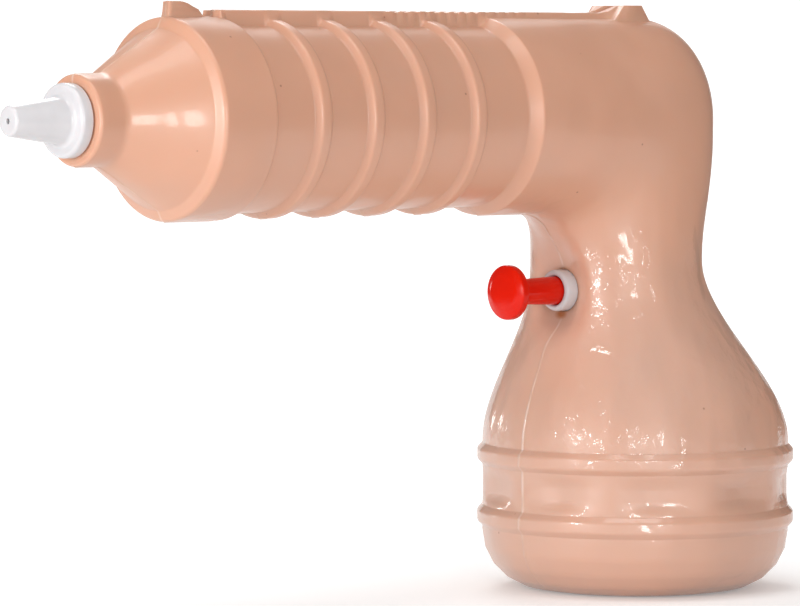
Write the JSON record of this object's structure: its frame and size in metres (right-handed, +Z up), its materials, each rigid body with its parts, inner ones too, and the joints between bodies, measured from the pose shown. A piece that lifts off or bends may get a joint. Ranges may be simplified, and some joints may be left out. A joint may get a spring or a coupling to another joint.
{
  "type": "water squirter",
  "caption": "Hand-held toy water squirter: hollow barrel, neck and round tank, push-button piston pump in the neck, hose to a tapered nozzle, filling plug underneath.",
  "frame": {"origin": "under the middle of the whole toy, at the height that the tank stands on", "axes": "+Z up, the nozzle points along -X, +Y to the right as the hand that aims it sees it; the seam between the shells lies in y = 0"},
  "size_m": [0.2191, 0.0742, 0.1365],
  "materials": {
    "peach_vinyl": "glossy soft vinyl",
    "red_plastic": "gloss",
    "white_plastic": "gloss",
    "clear_tube": "clear soft vinyl",
    "black_rubber": "matte",
    "spring_steel": "bright"
  },
  "bodies": {
    "housing": {"left_shell": "peach_vinyl", "right_shell": "peach_vinyl", "nozzle": "white_plastic", "pump_cylinder": "white_plastic", "cylinder_seal": "black_rubber", "return_spring": "spring_steel", "valve_block": "white_plastic", "inlet_fitting": "white_plastic", "outlet_fitting": "white_plastic", "outlet_spring": "spring_steel", "dip_tube": "clear_tube", "delivery_hose": "clear_tube", "filler_bush": "white_plastic"},
    "plunger": {"plunger_rod": "red_plastic", "trigger_knob": "red_plastic", "piston_seal": "black_rubber"},
    "filler_plug": {"filler_plug": "red_plastic"},
    "inlet_ball": {"inlet_ball": "spring_steel"},
    "outlet_ball": {"outlet_ball": "spring_steel"}
  },
  "joints": [
    {"name": "plunger_slide", "type": "slide", "parent": "housing", "child": "plunger", "axis": [1, 0, 0], "range_m": [0, 0.0105], "stiffness_N_per_m": 480, "springref_m": -0.004, "deforming": ["return_spring"]},
    {"name": "filler_plug_pull", "type": "slide", "parent": "housing", "child": "filler_plug", "axis": [0, 0, -1], "range_m": [0, 0.03]},
    {"name": "inlet_ball_lift", "type": "slide", "parent": "housing", "child": "inlet_ball", "axis": [0, 0, 1], "range_m": [0, 0.0015]},
    {"name": "outlet_ball_lift", "type": "slide", "parent": "housing", "child": "outlet_ball", "axis": [0, 0, 1], "range_m": [0, 0.0012], "stiffness_N_per_m": 200, "springref_m": -0.0002, "deforming": ["outlet_spring"]}
  ]
}
